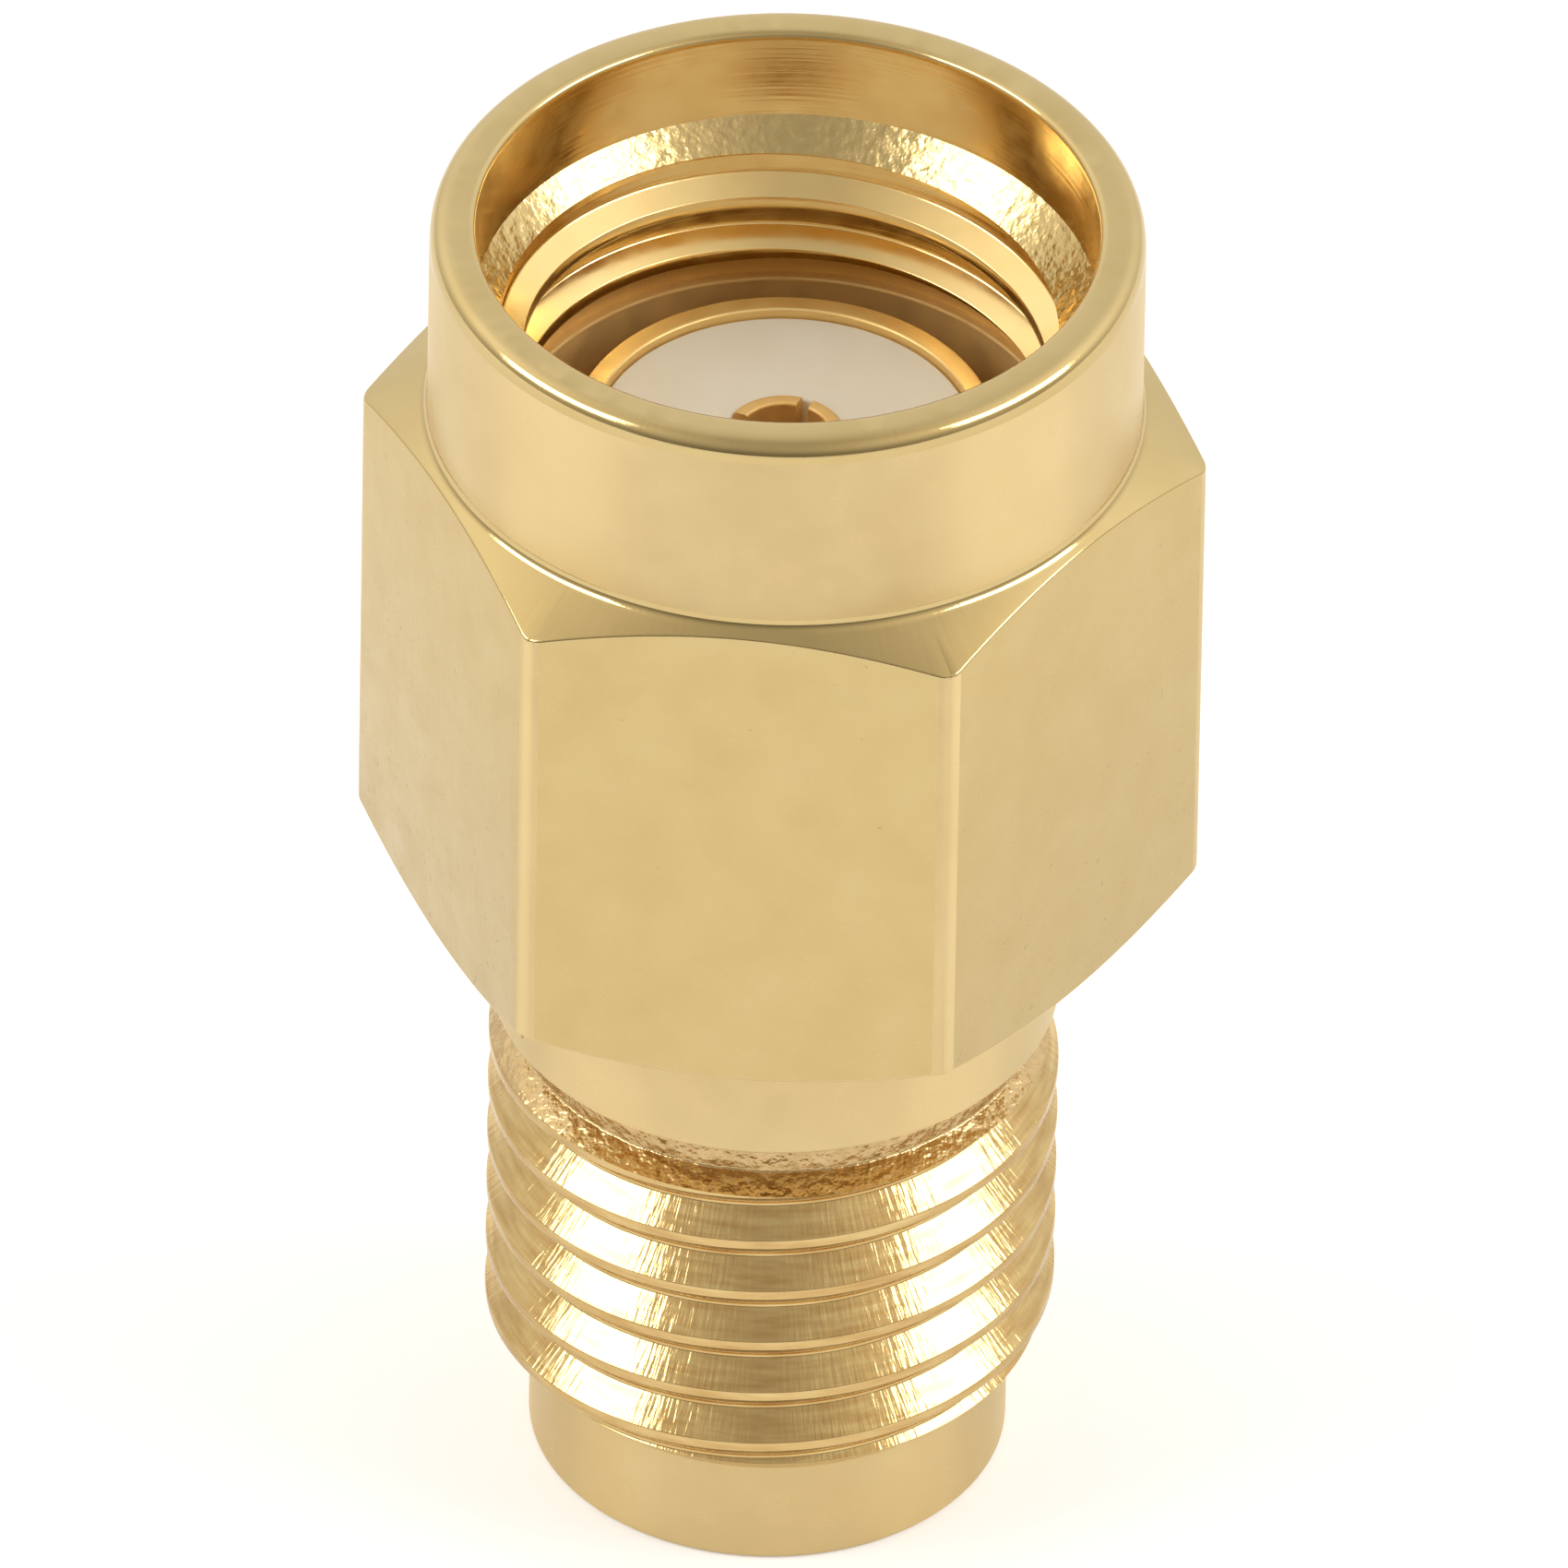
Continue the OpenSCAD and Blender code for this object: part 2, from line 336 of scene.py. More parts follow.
def close_up():
    """Weld the mesh in edit mode and turn its faces outwards."""
    bpy.ops.mesh.select_all(action="SELECT")
    bpy.ops.mesh.remove_doubles(threshold=WELD)
    bpy.ops.mesh.normals_make_consistent(inside=False)
    bpy.ops.object.mode_set(mode="OBJECT")


def turned(name, corners, closed=True):
    """Turn an outline of (radius, height, round) corners about the axis.

    An open outline starts and ends on the axis.
    """
    piece = draw_outline(name, rounded(corners, closed), closed)
    bpy.ops.mesh.spin(steps=TURN_STEPS, angle=FULL_TURN, center=(0, 0, 0), axis=(0, 0, 1))
    close_up()
    return piece


def groove_outline(side):
    """Outline of a groove, from its upper side and the mirror image of that below height 0."""
    lower = [(radius, -height, size) for radius, height, size in reversed(side)]
    return rounded(lower + side)


def groove_start(phase, pitch, low):
    """Height of the next groove at or below a given height, where the phase is a crest's height."""
    first = phase + pitch / 2
    return first - math.ceil((first - low) / pitch) * pitch


def screw_cutter(name, groove, pitch, low, high):
    """Sweep a groove up the axis as a right-hand screw, from one height past another, and cap its ends."""
    cutter = draw_outline(name, [Vector((point.x, point.y + low)) for point in groove])
    bpy.ops.object.mode_set(mode="OBJECT")
    bpy.ops.object.modifier_add(type="SCREW")
    screw = cutter.modifiers[-1]
    screw.angle = FULL_TURN
    screw.screw_offset = pitch
    screw.iterations = math.ceil((high - low) / pitch)
    screw.steps = TURN_STEPS
    screw.render_steps = TURN_STEPS
    bpy.ops.object.modifier_apply(modifier=screw.name)
    bpy.ops.object.mode_set(mode="EDIT")
    bpy.ops.mesh.select_all(action="SELECT")
    bpy.ops.mesh.fill_holes(sides=0)
    close_up()
    return cutter


def volume(piece):
    """Volume inside a closed mesh."""
    mesh = bmesh.new()
    mesh.from_mesh(piece.data)
    inside = mesh.calc_volume()
    mesh.free()
    return inside


def combine(piece, tool, operation):
    """Cut a piece by another solid, or down to it. The other solid is used up."""
    before = volume(piece)
    only(piece)
    bpy.ops.object.modifier_add(type="BOOLEAN")
    step = piece.modifiers[-1]
    step.operation = operation
    step.solver = "EXACT"
    step.object = tool
    bpy.ops.object.modifier_apply(modifier=step.name)
    only(tool)
    bpy.ops.object.delete()
    if not 0 < volume(piece) < before:
        raise RuntimeError(f"{piece.name} was not cut")


def dress(piece, body, node, slot, *materials):
    """Smooth a finished piece, give it its materials and put it in its node's place."""
    only(piece)
    bpy.ops.object.shade_smooth_by_angle(angle=SMOOTH_ANGLE)
    for material in materials:
        piece.data.materials.append(material)
    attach(piece, body)
    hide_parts(node)


# Materials


def add_node(tree, kind, inputs=None, **options):
    """Add a node, set its options, and give its inputs values or sockets to follow."""
    node = tree.nodes.new(kind)
    for option, value in options.items():
        setattr(node, option, value)
    for socket, value in (inputs or {}).items():
        if isinstance(value, bpy.types.NodeSocket):
            tree.links.new(value, node.inputs[socket])
        else:
            node.inputs[socket].default_value = value
    return node


def new_material(name, metallic=0.0):
    """A material with its node tree, its shader and its Object coordinates."""
    material = bpy.data.materials.new(name)
    material.use_nodes = True
    tree = material.node_tree
    tree.nodes.clear()
    shader = add_node(tree, "ShaderNodeBsdfPrincipled", {"Metallic": metallic})
    add_node(tree, "ShaderNodeOutputMaterial", {"Surface": shader.outputs["BSDF"]})
    place = add_node(tree, "ShaderNodeTexCoord").outputs["Object"]
    return material, tree, shader, place


def two_tones(tree, shader, place, light, deep, patch):
    """Let the base colour drift between two tones over patches of a given size."""
    drift = add_node(tree, "ShaderNodeTexNoise", {"Vector": place, "Scale": 1 / patch, "Detail": 2.0})
    tones = add_node(
        tree,
        "ShaderNodeMix",
        {"Factor": drift.outputs["Fac"], MIX_A: (*light, 1), MIX_B: (*deep, 1)},
        data_type="RGBA",
    )
    tree.links.new(tones.outputs[MIX_RESULT], shader.inputs["Base Color"])


def patchy_roughness(tree, shader, place, low, high, patch):
    """Let the roughness drift between two values over patches of a given size."""
    drift = add_node(tree, "ShaderNodeTexNoise", {"Vector": place, "Scale": 1 / patch, "Detail": 3.0})
    # nearly all of the noise lies between 0.3 and 0.7
    reach = add_node(
        tree,
        "ShaderNodeMapRange",
        {"Value": drift.outputs["Fac"], "From Min": 0.3, "From Max": 0.7, "To Min": low, "To Max": high},
    )
    tree.links.new(reach.outputs["Result"], shader.inputs["Roughness"])


def lathe_path(tree, place, spacing, marks):
    """Place along the path of a turning tool, counted in rings along it and in marks round the axis."""
    flat = add_node(tree, "ShaderNodeVectorMath", {0: place, 1: (1, 1, 0)}, operation="MULTIPLY")
    radius = add_node(tree, "ShaderNodeVectorMath", {0: flat.outputs[0]}, operation="LENGTH")
    around = add_node(tree, "ShaderNodeVectorMath", {0: flat.outputs[0]}, operation="NORMALIZE")
    axis = add_node(tree, "ShaderNodeSeparateXYZ", {0: place})
    # the radius counts against the height, so that rings follow each other on walls, faces and upper
    # flanks alike
    radius_share = -0.6
    path = add_node(
        tree,
        "ShaderNodeMath",
        {0: radius.outputs["Value"], 1: radius_share, 2: axis.outputs["Z"]},
        operation="MULTIPLY_ADD",
    )
    rings = add_node(tree, "ShaderNodeMath", {0: path.outputs[0], 1: spacing}, operation="DIVIDE")
    rise = add_node(tree, "ShaderNodeCombineXYZ", {"Z": rings.outputs[0]})
    spread = add_node(
        tree,
        "ShaderNodeVectorMath",
        {0: around.outputs[0], 1: (marks, marks, marks), 2: rise.outputs[0]},
        operation="MULTIPLY_ADD",
    )
    return spread.outputs[0]


def lathe_lines(tree, place, spacing, marks=1):
    """Height of the marks of a turning tool: fine rings, or more marks round the axis for chatter."""
    path = lathe_path(tree, place, spacing, marks)
    return add_node(tree, "ShaderNodeTexNoise", {"Vector": path, "Scale": 1.0, "Detail": 2.0})


def bumps(tree, shader, *layers):
    """Lay noise textures over each other as bumps, each given with its depth."""
    normal = None
    for noise, depth in layers:
        inputs = {"Height": noise.outputs[0], "Strength": 1.0, "Distance": depth}
        if normal:
            inputs["Normal"] = normal
        normal = add_node(tree, "ShaderNodeBump", inputs).outputs[0]
    tree.links.new(normal, shader.inputs["Normal"])


def stretched(tree, shader, share):
    """Draw reflections out across the rings of the turning tool, as turned metal does."""
    rings = add_node(tree, "ShaderNodeTangent", direction_type="RADIAL", axis="Z")
    tree.links.new(rings.outputs[0], shader.inputs["Tangent"])
    shader.inputs["Anisotropic"].default_value = share
    # a quarter turn, from along the rings to across them
    shader.inputs["Anisotropic Rotation"].default_value = 0.25


def turned_gold(name, finish):
    """Gold plate on turned brass: fine rings of the tool draw reflections out into upright bands."""
    material, tree, shader, place = new_material(name, metallic=1.0)
    two_tones(tree, shader, place, finish.turned_light, finish.turned_deep, patch=1.2 * MM)
    patchy_roughness(tree, shader, place, low=0.27, high=0.3, patch=0.4 * MM)
    stretched(tree, shader, 1.0)
    # feed marks are nearer 0.02 mm apart, and are drawn coarser so that they show
    rings = lathe_lines(tree, place, spacing=0.06 * MM)
    chatter = lathe_lines(tree, place, spacing=1.5 * MM, marks=30)
    bumps(tree, shader, (rings, 0.0012 * MM), (chatter, 0.001 * MM))
    return material


def thread_gold(finish):
    """Gold plate on a thread cut with a single point: clear tool lines, and chatter across them."""
    material, tree, shader, place = new_material("gold_plate_on_thread", metallic=1.0)
    # streaks of stain follow the tool, a little wider than its lines, and each is one patch of colour
    streaks = lathe_path(tree, place, spacing=0.11 * MM, marks=5)
    two_tones(tree, shader, streaks, finish.thread_light, finish.thread_deep, patch=1)
    patchy_roughness(tree, shader, place, low=0.06, high=0.17, patch=0.15 * MM)
    stretched(tree, shader, 0.4)
    # the tool's lines are nearer 0.03 mm apart, and are drawn coarser so that they show
    rings = lathe_lines(tree, place, spacing=0.09 * MM)
    chatter = lathe_lines(tree, place, spacing=0.5 * MM, marks=55)
    bumps(tree, shader, (rings, 0.004 * MM), (chatter, 0.007 * MM))
    return material


def polished_gold(finish):
    """Bright gold plate on the lip and the upper chamfers: finely turned, and close to a mirror."""
    material, tree, shader, place = new_material("gold_plate_on_lip", metallic=1.0)
    two_tones(tree, shader, place, finish.gold_light, finish.gold_deep, patch=0.8 * MM)
    patchy_roughness(tree, shader, place, low=0.08, high=0.16, patch=0.3 * MM)
    # feed marks are nearer 0.02 mm apart, and are drawn coarser so that they show
    rings = lathe_lines(tree, place, spacing=0.05 * MM)
    chatter = lathe_lines(tree, place, spacing=1.5 * MM, marks=60)
    bumps(tree, shader, (rings, 0.0008 * MM), (chatter, 0.001 * MM))
    return material


def torn_gold(name, light, deep, depth):
    """Gold plate on a torn cut: a coarse, grainy band that throws small sparks of light."""
    tear_width = 0.13 * MM
    material, tree, shader, place = new_material(name, metallic=1.0)
    two_tones(tree, shader, place, light, deep, patch=0.15 * MM)
    patchy_roughness(tree, shader, place, low=0.12, high=0.3, patch=0.1 * MM)
    tears = add_node(tree, "ShaderNodeTexNoise", {"Vector": place, "Scale": 1 / tear_width, "Detail": 2.0})
    bumps(tree, shader, (tears, depth))
    return material


def bored_gold(name, finish, smooth, rough):
    """Gold plate on a bored wall, bright near the mouth and dull further in.

    Its tones are painted paler than the outside gold, as painted bounce light that brightens the shaded
    bore. The tool is harder to keep steady there.
    """
    material, tree, shader, place = new_material(name, metallic=1.0)
    # tones paler than outside stand in for light bounced round inside the bore: painted light
    two_tones(tree, shader, place, finish.bore_painted_pale, finish.bore_painted_deep, patch=0.8 * MM)
    patchy_roughness(tree, shader, place, low=smooth, high=rough, patch=0.3 * MM)
    # feed marks are nearer 0.02 mm apart, and are drawn coarser so that they show
    bumps(tree, shader, (lathe_lines(tree, place, spacing=0.05 * MM), 0.003 * MM))
    return material


def drawn_gold(finish):
    """Bright gold plate on the drawn flats of the hexagon bar.

    The flats are calm, with faint lines along the bar, a slight waviness and scattered pin pricks.
    """
    wave_width = 0.6 * MM
    # drawing lines are nearer 0.02 mm apart, and are drawn coarser so that they show
    line_width = 0.07 * MM
    prick_width = 0.1 * MM
    material, tree, shader, place = new_material("gold_plate_on_flats", metallic=1.0)
    two_tones(tree, shader, place, finish.gold_light, finish.gold_deep, patch=0.7 * MM)
    patchy_roughness(tree, shader, place, low=0.2, high=0.32, patch=0.5 * MM)
    wave = add_node(tree, "ShaderNodeTexNoise", {"Vector": place, "Scale": 1 / wave_width, "Detail": 2.0})
    # height counts little, so that each line runs far up the flat
    along = add_node(tree, "ShaderNodeVectorMath", {0: place, 1: (1, 1, 0.05)}, operation="MULTIPLY")
    lines = add_node(
        tree, "ShaderNodeTexNoise", {"Vector": along.outputs[0], "Scale": 1 / line_width, "Detail": 1.0}
    )
    pricks = add_node(
        tree, "ShaderNodeTexNoise", {"Vector": place, "Scale": 1 / prick_width, "Detail": 0.0}
    )
    # only the peaks of that noise become pricks
    holes = add_node(
        tree,
        "ShaderNodeMapRange",
        {"Value": pricks.outputs["Fac"], "From Min": 0.74, "From Max": 0.84, "To Min": 1.0, "To Max": 0.0},
    )
    bumps(tree, shader, (wave, 0.006 * MM), (lines, 0.002 * MM), (holes, 0.004 * MM))
    return material


def contact_gold(finish):
    """Gold plate on a turned, sprung copper alloy: soft and warm, with faint rings, in tones painted paler
    than the other gold as painted light in its shaded hole.
    """
    material, tree, shader, place = new_material("gold_plate_on_contact", metallic=1.0)
    # the pale tones are painted light for the shade deep in the mouth
    two_tones(tree, shader, place, finish.contact_painted_pale, finish.contact_painted_deep, patch=0.4 * MM)
    patchy_roughness(tree, shader, place, low=0.55, high=0.7, patch=0.2 * MM)
    # feed marks are nearer 0.02 mm apart, and are drawn coarser so that they show
    bumps(tree, shader, (lathe_lines(tree, place, spacing=0.05 * MM), 0.002 * MM))
    return material


def insulator_white(finish):
    """White fluoropolymer, faced on a lathe.

    It is waxy: a soft, slightly see-through white with a low sheen and faint facing rings. Its tones are
    painted warm, as painted reflected light from the gold round it.
    """
    material, tree, shader, place = new_material("fluoropolymer_white")
    # the warm tones are painted reflected light from the gold round the insulator
    two_tones(tree, shader, place, finish.insulator_white, finish.insulator_painted_warm, patch=0.7 * MM)
    patchy_roughness(tree, shader, place, low=0.38, high=0.5, patch=0.3 * MM)
    shader.inputs["IOR"].default_value = 1.38
    shader.inputs["Subsurface Weight"].default_value = 0.35
    shader.inputs["Subsurface Radius"].default_value = (1.0, 0.9, 0.8)
    shader.inputs["Subsurface Scale"].default_value = 0.4 * MM
    # facing rings are nearer 0.02 mm apart, and are drawn coarser so that they show
    bumps(tree, shader, (lathe_lines(tree, place, spacing=0.07 * MM), 0.002 * MM))
    return material


def spring_bronze(finish):
    """Bare spring bronze wire, rolled flat: warm brown metal with a dull, slightly grainy face."""
    # the grain of rolled bronze is nearer 0.02 mm wide, and is drawn coarser so that it shows
    grain_width = 0.05 * MM
    material, tree, shader, place = new_material("spring_bronze", metallic=1.0)
    two_tones(tree, shader, place, finish.bronze_light, finish.bronze_deep, patch=0.5 * MM)
    patchy_roughness(tree, shader, place, low=0.28, high=0.42, patch=0.2 * MM)
    grain = add_node(tree, "ShaderNodeTexNoise", {"Vector": place, "Scale": 1 / grain_width, "Detail": 2.0})
    bumps(tree, shader, (grain, 0.002 * MM))
    return material


# Outlines of the threads


def jack_groove(thread, crest_radius):
    """Outline of the groove between two of the jack's crests, centred on height 0."""
    flare = (thread.pitch - thread.jack_crest) / 2
    root = thread.jack_root / 2
    root_radius = crest_radius - (flare - root) / math.tan(thread.jack_flank)
    # past the crest the cutter opens at a low angle, and stops just short of the next turn
    edge = thread.pitch / 2 - HAIR / 2
    return groove_outline([
        (root_radius, root, thread.jack_round),
        (crest_radius, flare, thread.jack_round),
        (crest_radius + (edge - flare) * CREST_SLOPE, edge, 0),
        (crest_radius + OVER, edge, 0),
    ])


def nut_groove(thread, crest_radius):
    """Outline of the groove between two of the nut's crests, centred on height 0."""
    root = thread.nut_root / 2
    root_radius = crest_radius + thread.nut_depth
    flare = root + thread.nut_depth * math.tan(thread.nut_flank)
    edge = flare + thread.nut_round / 2
    return groove_outline([
        (root_radius, root, thread.nut_round),
        (crest_radius, flare, thread.nut_round / 2),
        (crest_radius - (edge - flare) * CREST_SLOPE, edge, 0),
        (crest_radius - OVER / 2, edge, 0),
    ])


# Operators, one for each piece


class ADAPTER_OT_body(bpy.types.Operator):
    """Turn the body in one piece and cut the jack's thread on it"""

    bl_idname = "adapter.body"
    bl_label = "Body"

    # places of the body's finishes, after the plain turned one
    THREAD, RELIEF, BORE = range(1, 4)

    def execute(self, context):
        settings = context.scene.adapter
        sizes = settings.body
        thread = settings.thread
        finish = settings.finish

        thread_radius = BOX["body"][1].x
        tip = BOX["body"][1].z
        socket_radius = mount_radius("jack_socket")
        pilot_radius = socket_radius + sizes.pilot_wall
        thread_low, thread_high = mount_ends("jack_thread")
        relief_radius = thread_radius - sizes.relief_depth
        run_out = thread_high + sizes.relief_depth / 2
        shoulder_low = thread_high + sizes.relief_width - sizes.edge
        shoulder_high = BOX["coupling_nut"][0].z - sizes.seat_gap
        sleeve_radius = mount_radius("plug_sleeve")
        neck_radius = sleeve_radius + sizes.neck_step
        neck_top = mount_ends("plug_sleeve")[0]
        groove_radius = neck_radius - sizes.groove_depth
        groove_low = BOX["retaining_ring"][0].z - sizes.ring_room
        groove_high = BOX["retaining_ring"][1].z + sizes.ring_room + sizes.end_float
        bore_radius = BOX["insulator"][1].x + sizes.bush_gap
        socket_floor = BOX["insulator"][0].z

        body = turned("adapter_body", [
            (socket_radius, 0, sizes.fine_edge),
            (pilot_radius, 0, sizes.edge),
            (pilot_radius, sizes.pilot_length, sizes.fine_edge),
            (thread_radius, thread_low, 0),
            (thread_radius, thread_high, 0),
            (relief_radius, run_out, sizes.fine_edge),
            (relief_radius, shoulder_low, sizes.fine_edge),
            (thread_radius, shoulder_low, sizes.edge),
            (thread_radius, shoulder_high, sizes.edge),
            (neck_radius, shoulder_high, 0),
            (neck_radius, groove_low, 0),
            (groove_radius, groove_low, 0),
            (groove_radius, groove_high, 0),
            (neck_radius, groove_high, 0),
            (neck_radius, neck_top, sizes.edge),
            (sleeve_radius, neck_top, 0),
            (sleeve_radius, tip, sizes.fine_edge),
            (bore_radius, tip, sizes.fine_edge),
            (bore_radius, socket_floor, 0),
            (socket_radius, socket_floor, 0),
        ])

        groove = jack_groove(thread, thread_radius)
        start = groove_start(thread.jack_phase, thread.pitch, sizes.pilot_length / 2)
        cutter = screw_cutter("thread_cutter", groove, thread.pitch, start, shoulder_low)
        # the thread runs out into the relief groove and leaves the groove's floor and the shoulder alone
        keep_radius = relief_radius + HAIR
        keep = turned("thread_stop", [
            (0, thread_high, 0),
            (keep_radius, run_out, 0),
            (keep_radius, shoulder_low - HAIR, 0),
            (thread_radius + 2 * OVER, shoulder_low - HAIR, 0),
            (thread_radius + 2 * OVER, shoulder_high + OVER, 0),
            (0, shoulder_high + OVER, 0),
        ], closed=False)
        combine(cutter, keep, "DIFFERENCE")
        combine(body, cutter, "DIFFERENCE")

        dress(
            body,
            "adapter_body",
            "body",
            "gold_body",
            turned_gold("gold_plate_on_body", finish),
            thread_gold(finish),
            torn_gold("gold_plate_in_relief", finish.torn_light, finish.torn_deep, depth=0.03 * MM),
            bored_gold("gold_plate_on_neck", finish, smooth=0.4, rough=0.55),
        )
        for face in body.data.polygons:
            radius = face.center.xy.length
            height = face.center.z
            if radius < socket_radius + HAIR or height > shoulder_high + HAIR:
                face.material_index = self.BORE
            elif thread_high - HAIR < height < shoulder_low + HAIR:
                face.material_index = self.RELIEF
            elif sizes.pilot_length + HAIR < height < thread_high:
                face.material_index = self.THREAD
        return {"FINISHED"}


class ADAPTER_OT_nut(bpy.types.Operator):
    """Shape the coupling nut from hexagon bar, bore it and cut its inner thread"""

    bl_idname = "adapter.nut"
    bl_label = "Coupling nut"

    # places of the nut's finishes, after the plain turned one
    FLAT, BORE, LEAD_IN, LIP, MOUTH = range(1, 6)

    def execute(self, context):
        settings = context.scene.adapter
        sizes = settings.nut
        finish = settings.finish

        flat_distance = BOX["coupling_nut"][1].y
        bottom = BOX["coupling_nut"][0].z
        top = BOX["coupling_nut"][1].z
        hex_radius = flat_distance / math.cos(math.pi / HEX_SIDES)
        hex_top = top - sizes.collar_height

        bpy.ops.object.select_all(action="DESELECT")
        bpy.ops.mesh.primitive_cylinder_add(
            vertices=HEX_SIDES,
            radius=hex_radius,
            depth=top - bottom + 2 * OVER,
            location=(0, 0, (top + bottom) / 2),
            rotation=(0, 0, math.pi / HEX_SIDES),
        )
        nut = context.object
        nut.name = "coupling_nut_gold"
        nut.data.name = nut.name
        bpy.ops.object.transform_apply(location=True, rotation=True, scale=True)
        self.round_corners(nut, sizes.corner_round)

        # the turned outside: lower face, both chamfers and the collar
        slope = math.tan(sizes.chamfer)
        wide = hex_radius + OVER / 2
        outside = turned("nut_outside", [
            (0, bottom, 0),
            (sizes.face_radius, bottom, 0),
            (wide, bottom + (wide - sizes.face_radius) * slope, 0),
            (wide, hex_top - (wide - sizes.collar_radius) * slope, 0),
            (sizes.collar_radius, hex_top, sizes.collar_fillet),
            (sizes.collar_radius, top, sizes.rim_round),
            (0, top, 0),
        ], closed=False)
        combine(nut, outside, "INTERSECT")
        self.soften_chamfers(nut, sizes.chamfer_edge)
        self.bore(nut, sizes, settings.body, bottom, top)
        self.cut_thread(nut, sizes, settings.thread)

        dress(
            nut,
            "nut",
            "coupling_nut",
            "gold_nut",
            turned_gold("gold_plate_on_nut", finish),
            drawn_gold(finish),
            bored_gold("gold_plate_in_bores", finish, smooth=0.7, rough=0.85),
            torn_gold("gold_plate_on_lead_in", finish.gold_light, finish.gold_deep, depth=0.015 * MM),
            polished_gold(finish),
            bored_gold("gold_plate_in_mouth", finish, smooth=0.14, rough=0.26),
        )
        self.mark_flats(nut, flat_distance)
        self.mark_bores(nut, sizes, top)
        return {"FINISHED"}

    def round_corners(self, nut, size):
        """Round the hexagon's upright corners."""
        bpy.ops.object.mode_set(mode="EDIT")
        bpy.ops.mesh.select_mode(type="EDGE")
        bpy.ops.mesh.select_all(action="DESELECT")
        mesh = bmesh.from_edit_mesh(nut.data)
        for edge in mesh.edges:
            edge.select = abs(edge.verts[0].co.z - edge.verts[1].co.z) > OVER
        bmesh.update_edit_mesh(nut.data)
        reach = size * math.tan(math.pi / HEX_SIDES)
        bpy.ops.mesh.bevel(offset=reach, offset_type="OFFSET", segments=ROUND_STEPS, affect="EDGES")
        close_up()

    def soften_chamfers(self, nut, width):
        """Break the sharp edges that the chamfers leave."""
        only(nut)
        bpy.ops.object.modifier_add(type="BEVEL")
        bevel = nut.modifiers[-1]
        bevel.width = width
        bevel.segments = SOFT_STEPS
        bevel.limit_method = "ANGLE"
        bevel.angle_limit = SHARP_ANGLE
        bpy.ops.object.modifier_apply(modifier=bevel.name)

    def bore(self, nut, sizes, body, bottom, top):
        """Bore the nut through in steps, from the back bore to the mouth."""
        back_radius = mount_radius("plug_sleeve") + body.neck_step + sizes.turn_gap
        back_top = mount_ends("plug_sleeve")[0] - sizes.back_step
        ring_low, ring_high = BOX["retaining_ring"]
        ring_radius = ring_high.x + sizes.ring_gap
        thread_radius = mount_radius("nut_thread")
        thread_low = mount_ends("nut_thread")[0]
        mouth_floor = top - sizes.mouth_depth
        # a cone of 45 degrees leads from the mouth's floor into the thread
        lead_in = mouth_floor - sizes.mouth_radius + thread_radius
        hollow = turned("nut_hollow", [
            (0, bottom - OVER, 0),
            (back_radius + OVER, bottom - OVER, 0),
            (back_radius + OVER, bottom, 0),
            (back_radius, bottom, body.edge),
            (back_radius, ring_low.z - body.ring_room, 0),
            (ring_radius, ring_low.z - body.ring_room, 0),
            (ring_radius, ring_high.z + body.ring_room, 0),
            (back_radius, ring_high.z + body.ring_room, 0),
            (back_radius, back_top, 0),
            (sizes.room_radius, back_top, 0),
            (sizes.room_radius, thread_low - sizes.groove_height, body.fine_edge),
            (sizes.groove_radius, thread_low - sizes.groove_height, 0),
            (sizes.groove_radius, thread_low, 0),
            (thread_radius, thread_low, body.fine_edge),
            (thread_radius, lead_in, body.fine_edge),
            (sizes.mouth_radius, mouth_floor, 0),
            (sizes.mouth_radius, top, sizes.mouth_round),
            (sizes.mouth_radius + OVER, top, 0),
            (sizes.mouth_radius + OVER, top + OVER, 0),
            (0, top + OVER, 0),
        ], closed=False)
        combine(nut, hollow, "DIFFERENCE")

    def cut_thread(self, nut, sizes, thread):
        """Cut the inner thread, from the groove under it up to the mouth."""
        low, high = mount_ends("nut_thread")
        thread_radius = mount_radius("nut_thread")
        groove = nut_groove(thread, thread_radius)
        start = groove_start(thread.nut_phase, thread.pitch, low - sizes.groove_height)
        mouth_floor = high + sizes.mouth_radius - thread_radius
        cutter = screw_cutter("inner_thread_cutter", groove, thread.pitch, start, mouth_floor)
        # the thread ends in the groove under it and leaves the bore below alone
        stop_height = low - sizes.groove_height / 2
        stop = turned("inner_thread_stop", [
            (0, start - OVER, 0),
            (sizes.collar_radius, start - OVER, 0),
            (sizes.collar_radius, stop_height, 0),
            (0, stop_height, 0),
        ], closed=False)
        combine(cutter, stop, "DIFFERENCE")
        combine(nut, cutter, "DIFFERENCE")

    def mark_flats(self, nut, flat_distance):
        """Give the hexagon's flats their own finish."""
        for face in nut.data.polygons:
            upright = abs(face.normal.z) < UPRIGHT
            on_flat = abs(face.center.dot(face.normal) - flat_distance) < FLAT_REACH
            if upright and on_flat:
                face.material_index = self.FLAT

    def mark_bores(self, nut, sizes, top):
        """Give the lip, the mouth, the cone that leads into it and the walls below their own finishes."""
        low = mount_ends("nut_thread")[0]
        # height less radius, which is the same all over the cone of 45 degrees
        cone = top - sizes.mouth_depth - sizes.mouth_radius
        for face in nut.data.polygons:
            radius = face.center.xy.length
            height = face.center.z
            if radius < sizes.groove_radius + HAIR and height < low + HAIR:
                face.material_index = self.BORE
            elif radius < sizes.mouth_radius and abs(height - radius - cone) < HAIR:
                face.material_index = self.LEAD_IN
            elif radius < sizes.mouth_radius + HAIR:
                face.material_index = self.MOUTH
            elif face.normal.z > LOOKS_UP:
                face.material_index = self.LIP


